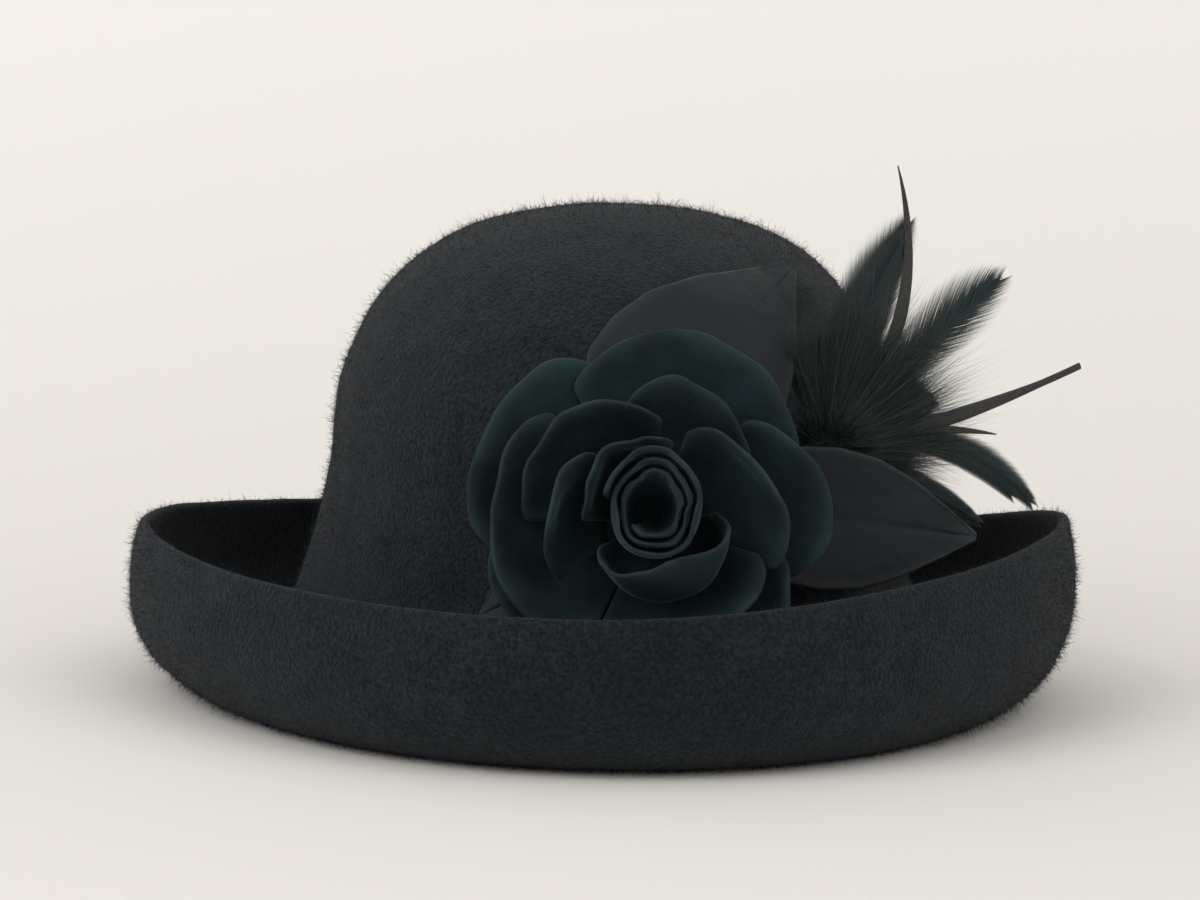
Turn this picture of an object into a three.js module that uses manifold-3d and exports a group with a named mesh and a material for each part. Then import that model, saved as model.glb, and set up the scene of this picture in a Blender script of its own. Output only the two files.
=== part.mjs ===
import * as THREE from 'three';
import { mergeVertices } from 'three/addons/utils/BufferGeometryUtils.js';
import Module from 'manifold-3d';

// A woman's hat of black wool felt, with a velvet rose, three cloth leaves and a spray of feathers.
// Millimetres, +Z up. The hat stands on its brim at Z = 0, its front looks towards -Y,
// and the wearer's left is towards +X.

// The felt hood: crown and brim blocked in one piece
const FELT = 3;
const HEAD_WIDTH = 159;
const HEAD_LENGTH = 200;
const CROWN_HEIGHT = 144;
const DOME_HEIGHT = 73;
const DOME_FULLNESS = 2.35;
const LEAN_SHARE = 0.0153;
const CROWN_FLARE = 17;
const FLARE_BEND = 1.45;
const FOOT_RADIUS = 6;
const FOOT_SPREAD = 4;
const REST_WIDTH = 8;
const BRIM_REACH = 60;
const BRIM_HEIGHT = 55;
const ROLL_SHARE = 0.57;
const RIM_IN = 2.8;

// The rim all round, an eighth of a turn apart: shares of the brim's height and reach
const RIM = [
  { place: 'front', height: 0.78, reach: 0.91 },
  { place: 'front left', height: 0.9, reach: 0.84 },
  { place: 'left', height: 1, reach: 0.965 },
  { place: 'back left', height: 0.74, reach: 0.88 },
  { place: 'back', height: 0.68, reach: 0.85 },
  { place: 'back right', height: 0.765, reach: 0.87 },
  { place: 'right', height: 0.885, reach: 1 },
  { place: 'front right', height: 0.8, reach: 0.87 },
];

// The rose: where it sits on the crown, its level as a share of the crown's height, and its sizes
const ROSE_X = 11.6;
const LEVEL_SHARE = 0.4375;
const ROSE_LIFT = 3.4;
const ROSE_TILT = 14;
const ROSE_SWING = 1;
const ROSE_RADIUS = 48;
const ROSE_DEPTH = 40;
const PETAL = 1.2;
const SEAM_GAP = 0.3;
const PETAL_CLEAR = 0.5;
const CALYX_BACK = 20;

// The nested cups that the petals lie on, from the bud outwards: shares of the rose's radius and depth
const CUPS = [
  { ring: 'bud', base: 0.1, belly: 0.28, edge: 0.18, baseDepth: 0.34, bellyDepth: 0.62, edgeDepth: 0.98 },
  { ring: 'inner', base: 0.22, belly: 0.48, edge: 0.45, baseDepth: 0.28, bellyDepth: 0.48, edgeDepth: 0.9 },
  { ring: 'middle', base: 0.33, belly: 0.74, edge: 0.77, baseDepth: 0.21, bellyDepth: 0.36, edgeDepth: 0.67 },
  { ring: 'outer', base: 0.43, belly: 0.84, edge: 1, baseDepth: 0.13, bellyDepth: 0.21, edgeDepth: 0.42 },
];

// Each petal: the turn of its middle from the wearer's left upwards and how wide it spreads, both in
// degrees, its cup at its middle, how many cups it leans out towards its far side, its length as a
// share of the cup's, and how far it closes over the bud
const PETALS = [
  { name: 'petal_inner_1', turn: 176, spread: 80, cup: 1.28, lean: 0.36, length: 1, closed: 0 },
  { name: 'petal_inner_2', turn: 132, spread: 115, cup: 0.64, lean: 0, length: 0.94, closed: 0 },
  { name: 'petal_inner_3', turn: -72, spread: 146, cup: 0.63, lean: 0.02, length: 0.98, closed: 0.2 },
  { name: 'petal_middle_1', turn: 135, spread: 100, cup: 1.66, lean: 0.35, length: 0.97, closed: 0 },
  { name: 'petal_middle_2', turn: 68, spread: 80, cup: 1.84, lean: 0.06, length: 0.8, closed: 0 },
  { name: 'petal_middle_3', turn: 21.5, spread: 93, cup: 1.5, lean: -0.55, length: 1, closed: 0 },
  { name: 'petal_middle_4', turn: -67, spread: 95, cup: 1.95, lean: -0.28, length: 0.94, closed: 0 },
  { name: 'petal_middle_5', turn: 190, spread: 110, cup: 2.38, lean: 0.06, length: 1.08, closed: 0 },
  { name: 'petal_outer_1', turn: 71, spread: 102, cup: 2.97, lean: 0, length: 1, closed: 0 },
  { name: 'petal_outer_2', turn: 12, spread: 70, cup: 2.66, lean: -0.3, length: 0.98, closed: 0 },
  { name: 'petal_outer_3', turn: -55, spread: 80, cup: 2.82, lean: -0.26, length: 0.94, closed: 0 },
  { name: 'petal_outer_4', turn: -128, spread: 86, cup: 2.85, lean: -0.24, length: 0.94, closed: 0 },
  { name: 'petal_outer_5', turn: 157, spread: 90, cup: 3.03, lean: -0.36, length: 1.02, closed: 0 },
];
const PETAL_ROUNDING = 0.42;
const SWELL_SHARE = 4.5;
const BUD_TURNS = 1.35;
const BUD_START = 40;
const BUD_GROWTH = 0.34;
const BUD_HEART = 0.86;

// The leaves: base and tip from the rose's middle, as shares of its radius, half width as a share of the
// widest leaf's, the share of the crown's half width past which the leaf stands off it, and the lift of
// its base and tip off the crown, in leaf thicknesses
const LEAF = 1.2;
const LEAF_WIDTH = 28;
const LEAVES = [
  { name: 'leaf_top', baseX: -0.24, baseZ: 0.28, tipX: 0.81, tipZ: 1.37, width: 1, free: 0.7, lift: 1.15, tipLift: 6 },
  { name: 'leaf_right', baseX: 0.45, baseZ: 0.07, tipX: 1.88, tipZ: -0.11, width: 0.7, free: 0.5, lift: 2.9, tipLift: 2.5 },
  { name: 'leaf_left', baseX: -0.24, baseZ: -0.17, tipX: -0.94, tipZ: -0.56, width: 0.46, free: 0.97, lift: 1, tipLift: 3 },
];
const LEAF_OUTLINE = [
  { at: 0, width: 0.3 },
  { at: 0.12, width: 0.68 },
  { at: 0.25, width: 0.95 },
  { at: 0.4, width: 1 },
  { at: 0.56, width: 0.92 },
  { at: 0.72, width: 0.68 },
  { at: 0.88, width: 0.33 },
  { at: 1, width: 0.04 },
];
const LEAF_BEND = 0.3;
const LEAF_SPACE = 2.5;

// The feather spray: its bound head, out at a share of the crown's half width and above the rose's
// middle, and the fan of feathers from it
const SPRAY_SHARE = 0.7407;
const SPRAY_ABOVE = 17;
const SPRAY_SWING = 22;
const SPRAY_HEAD = 8;
const HEAD_SQUASH = [1, 0.8, 0.5];
const FEATHER_REACH = 81;
const FEATHER_WIDTH = 15;
const FEATHER = 1.2;
const FEATHER_TIP = 0.1;
const FEATHER_BELLY = 0.9;
const FEATHER_FULLNESS = 0.6;

// Each feather: its turn from level upwards in degrees, its length and width as shares of the longest
// and widest, its sideways bow as a share of its length, and its layer in the fan in feather thicknesses
const FEATHERS = [
  { kind: 'upper vane', turn: 69, length: 0.79, width: 1, bow: 0.05, layer: 1 },
  { kind: 'upright quill', turn: 74, length: 0.96, width: 0.24, bow: -0.15, layer: 2.2 },
  { kind: 'soft plume', turn: 42, length: 0.88, width: 0.95, bow: 0.02, layer: 0 },
  { kind: 'long quill', turn: 16.5, length: 1, width: 0.24, bow: -0.03, layer: 2.2 },
  { kind: 'thin quill', turn: 4, length: 0.65, width: 0.2, bow: 0.06, layer: 1 },
  { kind: 'bent vane', turn: -15.5, length: 0.88, width: 0.6, bow: 0.15, layer: 0 },
  { kind: 'lower vane', turn: -27, length: 0.64, width: 0.45, bow: 0.04, layer: -1 },
  { kind: 'down above', turn: 88, length: 0.54, width: 0.8, bow: 0, layer: -1 },
  { kind: 'down beside', turn: 57, length: 0.62, width: 1.2, bow: 0, layer: -1 },
  { kind: 'down across', turn: 29, length: 0.6, width: 1.1, bow: 0, layer: 1 },
  { kind: 'down below', turn: -8, length: 0.46, width: 0.9, bow: 0, layer: 0 },
];

// How finely the faces are cut
const HOOD_SIDES = 52;
const DOME_ROWS = 8;
const FLARE_ROWS = 4;
const ROLL_ROWS = 6;
const WALL_ROWS = 3;
const PETAL_ROWS = 5;
const PETAL_COLUMNS = 7;
const BUD_COLUMNS = 20;
const LEAF_COLUMNS = 4;
const FEATHER_ROWS = 6;
const CALYX_SIDES = 24;
const FOOT_STEPS = [0.4, 0.75];
const RIM_ANGLES = [45, 90, 135];
const HEAD_SIDES = 14;
const HEAD_ROWS = 8;

const felt = new THREE.MeshStandardMaterial({ color: 0x26272a, roughness: 0.98, metalness: 0 });
const velvet = new THREE.MeshStandardMaterial({ color: 0x0c1a1c, roughness: 0.8, metalness: 0 });
const satin = new THREE.MeshStandardMaterial({ color: 0x202124, roughness: 0.6, metalness: 0 });
const plume = new THREE.MeshStandardMaterial({ color: 0x121a17, roughness: 0.7, metalness: 0 });

const wasm = await Module();
wasm.setup();

const halfTurn = Math.PI;
const clamp = THREE.MathUtils.clamp;
const lerp = THREE.MathUtils.lerp;
const radians = THREE.MathUtils.degToRad;

// Closed bodies

// A BufferGeometry from points and triangles, turned so that its faces point out
function bodyOf(points, faces) {
  let volume = 0;
  const side = new THREE.Vector3();
  for (const [a, b, c] of faces) {
    volume += side.crossVectors(points[a], points[b]).dot(points[c]);
  }
  const order = volume < 0 ? faces.map(([a, b, c]) => [a, c, b]) : faces;
  const geometry = new THREE.BufferGeometry().setFromPoints(points);
  geometry.setIndex(order.flat());
  geometry.computeVertexNormals();
  return geometry;
}

// A body skinned over closed rings of equal length, with a single point allowed at either end
function skin(rings, ends = []) {
  const points = rings.flat();
  const faces = [...ends];
  let start = 0;
  for (let r = 0; r < rings.length - 1; r++) {
    const here = rings[r].length;
    const next = rings[r + 1].length;
    const sides = Math.max(here, next);
    for (let c = 0; c < sides; c++) {
      const a = start + (c % here);
      const b = start + ((c + 1) % here);
      const d = start + here + (c % next);
      const e = start + here + ((c + 1) % next);
      if (a !== b) faces.push([a, b, e]);
      if (d !== e) faces.push([a, e, d]);
    }
    start += here;
  }
  return bodyOf(points, faces);
}

// The direction square to a grid of points at one of them
function squareTo(grid, r, c, wraps) {
  const row = grid[r];
  const last = row.length - 1;
  const before = wraps ? row[(c + last) % row.length] : row[Math.max(c - 1, 0)];
  const after = wraps ? row[(c + 1) % row.length] : row[Math.min(c + 1, last)];
  const above = grid[Math.max(r - 1, 0)];
  const below = grid[Math.min(r + 1, grid.length - 1)];
  const along = new THREE.Vector3().subVectors(below[c % below.length], above[c % above.length]);
  return along.cross(new THREE.Vector3().subVectors(after, before)).normalize();
}

// A thin plate of even thickness whose middle is an open grid of points
function plate(grid, thickness) {
  const rings = grid.map((row, r) => {
    const offsets = row.map((point, c) => squareTo(grid, r, c, false).multiplyScalar(thickness / 2));
    const front = row.map((point, c) => point.clone().add(offsets[c]));
    const back = row.map((point, c) => point.clone().sub(offsets[c]));
    return [...front, ...back.reverse()];
  });
  const count = rings[0].length;
  const lastRing = (rings.length - 1) * count;
  const ends = [];
  for (let c = 0; c < count / 2 - 1; c++) {
    const across = count - 1 - c;
    ends.push([c, across, across - 1], [c, across - 1, c + 1]);
    ends.push([lastRing + c, lastRing + across - 1, lastRing + across]);
    ends.push([lastRing + c, lastRing + c + 1, lastRing + across - 1]);
  }
  return skin(rings, ends);
}

function solidOf(geometry) {
  const bare = (geometry.index ? geometry.toNonIndexed() : geometry).clone();
  bare.deleteAttribute('normal');
  bare.deleteAttribute('uv');
  const merged = mergeVertices(bare, 1e-3);
  return new wasm.Manifold(new wasm.Mesh({
    numProp: 3,
    vertProperties: merged.attributes.position.array,
    triVerts: new Uint32Array(merged.index.array),
  }));
}

function geometryOf(solid) {
  const cut = solid.getMesh();
  const geometry = new THREE.BufferGeometry();
  geometry.setAttribute('position', new THREE.BufferAttribute(new Float32Array(cut.vertProperties), 3));
  geometry.setIndex(new THREE.BufferAttribute(new Uint32Array(cut.triVerts), 1));
  geometry.computeVertexNormals();
  return geometry;
}

function meshOf(name, geometry, material) {
  const mesh = new THREE.Mesh(geometry, material);
  mesh.name = name;
  return mesh;
}

// A smooth value between the rows of a table that closes on itself, at a turn in radians
function around(table, column, turn) {
  const place = turn / (2 * halfTurn) * table.length;
  const first = Math.floor(place);
  const share = place - first;
  const value = (step) => table[(first + step + table.length) % table.length][column];
  const [a, b, c, d] = [-1, 0, 1, 2].map(value);
  const bend = (3 * b - a - 3 * c + d) * share + 2 * a - 5 * b + 4 * c - d;
  return b + (c - a + bend * share) * share / 2;
}

// The felt hood

const waistX = (HEAD_WIDTH + FELT) / 2;
const waistY = (HEAD_LENGTH + FELT) / 2;
const waistZ = CROWN_HEIGHT - DOME_HEIGHT;
const domeRise = DOME_HEIGHT - FELT / 2;
const footZ = FELT / 2 + FOOT_RADIUS;
const roseZ = LEVEL_SHARE * CROWN_HEIGHT;

// The rows of the felt's middle surface from the crown's tip to the rim: a share of the waist,
// a distance out from it, and a height, for the rim's own height and reach at that turn
function hoodRows() {
  const rows = [];
  for (let i = 0; i <= DOME_ROWS; i++) {
    const climb = (1 - i / DOME_ROWS) * halfTurn / 2;
    const share = Math.abs(Math.cos(climb)) ** (2 / DOME_FULLNESS);
    const z = waistZ + domeRise * Math.sin(climb) ** (2 / DOME_FULLNESS);
    rows.push({ at: () => [i ? share : 0, 0, z] });
  }
  for (let i = 1; i <= FLARE_ROWS; i++) {
    const fall = i / FLARE_ROWS;
    rows.push({ at: () => [1, CROWN_FLARE * fall ** FLARE_BEND, lerp(waistZ, footZ, fall)] });
  }
  for (const share of FOOT_STEPS) {
    const z = FELT / 2 + FOOT_RADIUS * (1 - Math.sin(share * halfTurn / 2));
    rows.push({ at: () => [1, CROWN_FLARE + FOOT_SPREAD * share, z] });
  }
  const restIn = CROWN_FLARE + FOOT_SPREAD;
  const restOut = restIn + REST_WIDTH;
  rows.push({ flat: true, at: () => [1, restIn, FELT / 2] });
  rows.push({ flat: true, at: () => [1, restOut, FELT / 2] });
  for (let i = 1; i <= ROLL_ROWS; i++) {
    const swing = i / ROLL_ROWS * halfTurn / 2;
    rows.push({
      at: (height, reach) => [
        1,
        lerp(restOut, reach - FELT / 2, Math.sin(swing)),
        FELT / 2 + (height - FELT) * ROLL_SHARE * (1 - Math.cos(swing)),
      ],
    });
  }
  for (let i = 1; i <= WALL_ROWS; i++) {
    const climb = i / WALL_ROWS;
    rows.push({
      at: (height, reach) => [
        1,
        reach - FELT / 2 - RIM_IN * climb ** 2,
        FELT / 2 + (height - FELT) * lerp(ROLL_SHARE, 1, climb),
      ],
    });
  }
  return rows;
}

// How far the crown leans towards the wearer's left at a height, up to a share of its whole height
function leanAt(z) {
  return LEAN_SHARE * z ** 2 / CROWN_HEIGHT;
}

function hoodGrid(rows) {
  return rows.map((row) => {
    const ring = [];
    for (let c = 0; c < HOOD_SIDES; c++) {
      const turn = c / HOOD_SIDES * 2 * halfTurn;
      const height = BRIM_HEIGHT * around(RIM, 'height', turn);
      const reach = BRIM_REACH * around(RIM, 'reach', turn);
      const [share, out, z] = row.at(height, reach);
      const outward = new THREE.Vector2(Math.sin(turn) * waistY, -Math.cos(turn) * waistX).normalize();
      ring.push(new THREE.Vector3(
        share * waistX * Math.sin(turn) + out * outward.x + leanAt(z),
        -share * waistY * Math.cos(turn) + out * outward.y,
        z,
      ));
    }
    return ring;
  });
}

// The middle surface moved along its own normals, with the resting ring kept level
function hoodFace(rows, grid, offset) {
  return grid.map((ring, r) => {
    if (r === 0) return [ring[0].clone().setZ(ring[0].z + offset)];
    return ring.map((point, c) => {
      const normal = rows[r].flat ? new THREE.Vector3(0, 0, 1) : squareTo(grid, r, c, true);
      return point.clone().addScaledVector(normal, offset);
    });
  });
}

function feltBody() {
  const rows = hoodRows();
  const grid = hoodGrid(rows);
  const upper = hoodFace(rows, grid, FELT / 2);
  const lower = hoodFace(rows, grid, -FELT / 2);
  const last = grid.length - 1;
  const rim = RIM_ANGLES.map((angle) => grid[last].map((point, c) => {
    const across = new THREE.Vector3().subVectors(upper[last][c], point);
    const up = new THREE.Vector3().subVectors(point, grid[last - 1][c]).setLength(FELT / 2);
    return point.clone()
      .addScaledVector(across, Math.cos(radians(angle)))
      .addScaledVector(up, Math.sin(radians(angle)));
  }));
  return skin([...upper, ...rim, ...lower.reverse()]);
}

// The crown as a full block, its outer face moved out by a gap, to cut what is sewn to it
function crownBlock(gap) {
  const rows = hoodRows().slice(0, DOME_ROWS + FLARE_ROWS + 1);
  const face = hoodFace(rows, hoodGrid(rows), FELT / 2 + gap);
  return solidOf(skin([...face, [new THREE.Vector3(0, 0, footZ)]]));
}

// How wide and long the crown's outer face is at a height, up to just under its tip
const NEAR_TIP = 0.97;
function crownSize(z) {
  const climb = clamp((z - waistZ) / domeRise, 0, NEAR_TIP);
  const share = (1 - climb ** DOME_FULLNESS) ** (1 / DOME_FULLNESS);
  const fall = clamp((waistZ - z) / (waistZ - footZ), 0, 1);
  const out = CROWN_FLARE * fall ** FLARE_BEND + FELT / 2;
  return { halfWidth: waistX * share + out, halfLength: waistY * share + out };
}

// Where the crown's front face is at an X and Z. Past a share of its half width a leaf leaves it,
// and bends back less than the crown does.
function crownFront(x, z, free = NEAR_TIP) {
  const { halfWidth, halfLength } = crownSize(z);
  const across = (x - leanAt(z)) / halfWidth;
  const held = clamp(across, -free, free);
  const reach = Math.sqrt(1 - held ** 2);
  return halfLength * (LEAF_BEND * held * (across - held) / reach - reach);
}

// A group on the crown's front whose own Z stands off it, tilted up and swung to the side
function seatOnCrown(x, z, lift, tilt, swing) {
  const seat = new THREE.Group();
  seat.position.set(x, crownFront(x, z) - lift, z);
  seat.rotation.set(radians(90 - tilt), 0, radians(swing), 'ZXY');
  seat.updateMatrix();
  return seat;
}

// A solid in a group's frame, cut clear of the crown by a gap
function clearOfCrown(solid, seat, gap = SEAM_GAP) {
  return solid.subtract(crownBlock(gap).transform(seat.matrix.clone().invert().elements));
}

// The rose

// A point of the nested cups: which cup, how far from base to edge, the turn round the flower, and how
// far the edge is drawn in while the belly swells
function cupPoint(cup, along, turn, closed = 0) {
  const first = clamp(Math.floor(cup), 0, CUPS.length - 2);
  const size = (column) => lerp(CUPS[first][column], CUPS[first + 1][column], cup - first);
  const curve = (a, b, c) => (1 - along) ** 2 * a + 2 * along * (1 - along) * b + along ** 2 * c;
  const out = curve(size('base'), size('belly') * (1 + SWELL_SHARE * closed), size('edge') * (1 - closed));
  const depth = ROSE_DEPTH * curve(size('baseDepth'), size('bellyDepth'), size('edgeDepth'));
  return new THREE.Vector3(ROSE_RADIUS * out * Math.cos(turn), ROSE_RADIUS * out * Math.sin(turn), depth);
}

// A petal leans from one cup to the next across its width, so that each tucks under its neighbour
function petal({ name, turn, spread, cup, lean, length, closed }) {
  const grid = [];
  for (let r = 0; r <= PETAL_ROWS; r++) {
    const row = [];
    for (let c = 0; c <= PETAL_COLUMNS; c++) {
      const across = 2 * c / PETAL_COLUMNS - 1;
      const along = r / PETAL_ROWS * length * (1 - PETAL_ROUNDING * Math.abs(across) ** 3);
      const shut = closed * (1 - across ** 2);
      row.push(cupPoint(cup + lean * across, along, radians(turn + spread / 2 * across), shut));
    }
    grid.push(row);
  }
  return meshOf(name, plate(grid, PETAL), velvet);
}

// The bud is one petal furled round and round, lowest at its heart
function bud() {
  const grid = [];
  for (let r = 0; r <= PETAL_ROWS; r++) {
    const row = [];
    for (let c = 0; c <= BUD_COLUMNS; c++) {
      const across = c / BUD_COLUMNS;
      const along = r / PETAL_ROWS * lerp(BUD_HEART, 1, across);
      row.push(cupPoint(BUD_GROWTH * across, along, radians(BUD_START + 360 * BUD_TURNS * across)));
    }
    grid.push(row);
  }
  return meshOf('rose_bud', plate(grid, PETAL), velvet);
}

// A stiffened button under the petals, stepped to carry each ring, and cut to lie on the leaves' stems
function calyx(seat) {
  const under = PETAL / 2 + PETAL_CLEAR;
  const steps = CUPS.map(({ base, baseDepth }) => [base * ROSE_RADIUS, baseDepth * ROSE_DEPTH - under]);
  const radius = steps[steps.length - 1][0];
  const profile = [[0, steps[0][1]], ...steps, [radius, -CALYX_BACK], [0, -CALYX_BACK]];
  const points = profile.reverse().map(([out, depth]) => new THREE.Vector2(out, depth));
  const button = new THREE.LatheGeometry(points, CALYX_SIDES).rotateX(halfTurn / 2);
  const space = LEAF_SPACE * LEAF;
  return meshOf('rose_calyx', geometryOf(clearOfCrown(solidOf(button), seat, space)), velvet);
}

function rose() {
  const seat = seatOnCrown(ROSE_X, roseZ, ROSE_LIFT, ROSE_TILT, ROSE_SWING);
  seat.add(calyx(seat), bud(), ...PETALS.map(petal));
  return seat;
}

// The leaves

function leaf({ name, baseX, baseZ, tipX, tipZ, width, free, lift, tipLift }) {
  const fromRose = (x, z) => new THREE.Vector2(ROSE_X + x * ROSE_RADIUS, roseZ + z * ROSE_RADIUS);
  const base = fromRose(baseX, baseZ);
  const line = fromRose(tipX, tipZ).sub(base);
  const side = new THREE.Vector2(line.y, -line.x).normalize();
  const grid = LEAF_OUTLINE.map(({ at, width: share }) => {
    const row = [];
    for (let c = 0; c <= LEAF_COLUMNS; c++) {
      const across = (2 * c / LEAF_COLUMNS - 1) * share * width * LEAF_WIDTH;
      const place = base.clone().addScaledVector(line, at).addScaledVector(side, across);
      const off = lerp(lift, tipLift, at ** 2) * LEAF;
      row.push(new THREE.Vector3(place.x, crownFront(place.x, place.y, free) - off, place.y));
    }
    return row;
  });
  return meshOf(name, plate(grid, LEAF), satin);
}

// The feathers

// One feather as a tapered strip in the fan's plane, from the bound head to its tip
function feather({ turn, length, width, bow, layer }) {
  const reach = FEATHER_REACH * length;
  const grid = [];
  for (let r = 0; r <= FEATHER_ROWS; r++) {
    const along = r / FEATHER_ROWS;
    const outline = Math.sin(halfTurn * along ** FEATHER_BELLY) ** FEATHER_FULLNESS;
    const half = FEATHER_WIDTH / 2 * width * Math.max(FEATHER_TIP, outline);
    const bend = 4 * bow * reach * along * (1 - along);
    const rise = layer * FEATHER * along;
    const row = [-1, 0, 1].map((across) => new THREE.Vector3(reach * along, bend + across * half, rise));
    grid.push(row.map((point) => point.applyAxisAngle(new THREE.Vector3(0, 0, 1), radians(turn))));
  }
  return solidOf(plate(grid, FEATHER));
}

function featherSpray() {
  const seat = seatOnCrown(SPRAY_SHARE * waistX, roseZ + SPRAY_ABOVE, FELT, 0, SPRAY_SWING);
  const head = new THREE.SphereGeometry(SPRAY_HEAD, HEAD_SIDES, HEAD_ROWS).scale(...HEAD_SQUASH);
  const fused = FEATHERS.reduce((spray, row) => spray.add(feather(row)), solidOf(head));
  seat.add(meshOf('feather_spray', geometryOf(clearOfCrown(fused, seat)), plume));
  return seat;
}

// The whole hat, its brim's outline centred on the origin
const hat = new THREE.Group();
const body = meshOf('felt_body', feltBody(), felt);
hat.add(body, rose(), ...LEAVES.map(leaf), featherSpray());
body.geometry.computeBoundingBox();
const middle = body.geometry.boundingBox.getCenter(new THREE.Vector3());
hat.position.set(-middle.x, -middle.y, 0);

const part = new THREE.Group();
part.add(hat);

export default part;
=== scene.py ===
import math

import bmesh
import bpy
import numpy as np
from mathutils import Matrix, Vector, noise


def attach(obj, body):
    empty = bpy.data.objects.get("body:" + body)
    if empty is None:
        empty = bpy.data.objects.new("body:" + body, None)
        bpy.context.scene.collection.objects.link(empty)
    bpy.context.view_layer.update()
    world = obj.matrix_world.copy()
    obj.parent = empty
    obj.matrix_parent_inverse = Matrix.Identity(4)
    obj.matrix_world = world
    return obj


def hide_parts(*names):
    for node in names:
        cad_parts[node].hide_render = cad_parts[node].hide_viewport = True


# A woman's hat of black wool felt, with a velvet rose, three cloth leaves and a spray of feathers.
# Metres, +Z up. The hat stands on its brim at Z = 0, its front looks towards -Y,
# and the wearer's left is towards +X.

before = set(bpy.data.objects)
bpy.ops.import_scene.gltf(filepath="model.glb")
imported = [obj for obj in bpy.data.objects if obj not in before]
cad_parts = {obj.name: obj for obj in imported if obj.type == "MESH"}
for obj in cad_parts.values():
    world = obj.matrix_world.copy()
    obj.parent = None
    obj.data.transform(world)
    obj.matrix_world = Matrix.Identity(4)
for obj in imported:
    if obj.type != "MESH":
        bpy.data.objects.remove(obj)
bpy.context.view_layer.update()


# The felt hood: one round of black wool felt, 3 mm thick, steamed and pulled over a block into a
# round crown, with its edge rolled up into the brim and cut at the rim. It has no seam and no band.
# The round is spun flat and rounded at its edge, and then every vertex is moved onto the block.

FELT = 0.003
WAIST_X = 0.081
WAIST_Y = 0.1015
WAIST_Z = 0.071
CROWN_HEIGHT = 0.144
DOME_RISE = 0.0715
DOME_FULLNESS = 2.35
CROWN_LEAN = 0.0022
CROWN_FLARE = 0.017
FLARE_BEND = 1.45
FOOT_RADIUS = 0.006
FOOT_SPREAD = 0.004
REST_WIDTH = 0.008
BRIM_REACH = 0.060
BRIM_HEIGHT = 0.055
ROLL_SHARE = 0.57
RIM_IN = 0.0028
FOOT_Z = FELT / 2 + FOOT_RADIUS
REST_IN = CROWN_FLARE + FOOT_SPREAD
REST_OUT = REST_IN + REST_WIDTH

# The rim's height and reach all round, an eighth of a turn apart, as shares of the brim's
RIM = [
    {"place": "front", "height": 0.78, "reach": 0.91},
    {"place": "front left", "height": 0.9, "reach": 0.84},
    {"place": "left", "height": 1, "reach": 0.965},
    {"place": "back left", "height": 0.74, "reach": 0.88},
    {"place": "back", "height": 0.68, "reach": 0.85},
    {"place": "back right", "height": 0.765, "reach": 0.87},
    {"place": "right", "height": 0.885, "reach": 1},
    {"place": "front right", "height": 0.8, "reach": 0.87},
]

# The stretches of the round from its middle to its rim: where each ends, as a share of its radius
DOME_END = 0.47
FLARE_END = 0.71
FOOT_END = 0.745
REST_END = 0.775
ROLL_END = 0.93

# The hat's own middle line stands this far off the origin, which is under the middle of the brim
HAT_MIDDLE = Vector((0.0009585, 0.0017998, 0))

HOOD_SIDES = 300
HOOD_ROWS = 110
LINING_ROWS = 50
RIM_STEPS = 6
HANDMADE = 0.0008
HANDMADE_SIZE = 0.022
LUMP = 0.00022
LUMP_SIZE = 0.0045
FEEL = 0.004
POLE = 0.02


def around(column, turn):
    place = turn / (2 * math.pi) * len(RIM)
    first = math.floor(place)
    share = place - first
    a, b, c, d = (RIM[(first + step) % len(RIM)][column] for step in (-1, 0, 1, 2))
    bend = (3 * b - a - 3 * c + d) * share + 2 * a - 5 * b + 4 * c - d
    return b + (c - a + bend * share) * share / 2


def lerp(a, b, share):
    return a + (b - a) * share


def lean_at(z):
    return CROWN_LEAN * (z / CROWN_HEIGHT) ** 2


# The middle of the felt at a share of the round's radius and a turn from the front
def block(spread, turn):
    height = BRIM_HEIGHT * around("height", turn)
    reach = BRIM_REACH * around("reach", turn)
    share, out = 1, 0
    if spread < DOME_END:
        climb = (1 - spread / DOME_END) * math.pi / 2
        share = abs(math.cos(climb)) ** (2 / DOME_FULLNESS)
        z = WAIST_Z + DOME_RISE * math.sin(climb) ** (2 / DOME_FULLNESS)
    elif spread < FLARE_END:
        fall = (spread - DOME_END) / (FLARE_END - DOME_END)
        out = CROWN_FLARE * fall**FLARE_BEND
        z = lerp(WAIST_Z, FOOT_Z, fall)
    elif spread < FOOT_END:
        step = (spread - FLARE_END) / (FOOT_END - FLARE_END)
        out = CROWN_FLARE + FOOT_SPREAD * step
        z = FELT / 2 + FOOT_RADIUS * (1 - math.sin(step * math.pi / 2))
    elif spread < REST_END:
        out = lerp(REST_IN, REST_OUT, (spread - FOOT_END) / (REST_END - FOOT_END))
        z = FELT / 2
    elif spread < ROLL_END:
        swing = (spread - REST_END) / (ROLL_END - REST_END) * math.pi / 2
        out = lerp(REST_OUT, reach - FELT / 2, math.sin(swing))
        z = FELT / 2 + (height - FELT) * ROLL_SHARE * (1 - math.cos(swing))
    else:
        climb = (spread - ROLL_END) / (1 - ROLL_END)
        out = reach - FELT / 2 - RIM_IN * climb**2
        z = FELT / 2 + (height - FELT) * lerp(ROLL_SHARE, 1, climb)
    outward = Vector((math.sin(turn) * WAIST_Y, -math.cos(turn) * WAIST_X)).normalized()
    return HAT_MIDDLE + Vector(
        (
            share * WAIST_X * math.sin(turn) + out * outward.x + lean_at(z),
            -share * WAIST_Y * math.cos(turn) + out * outward.y,
            z,
        )
    )


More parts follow.
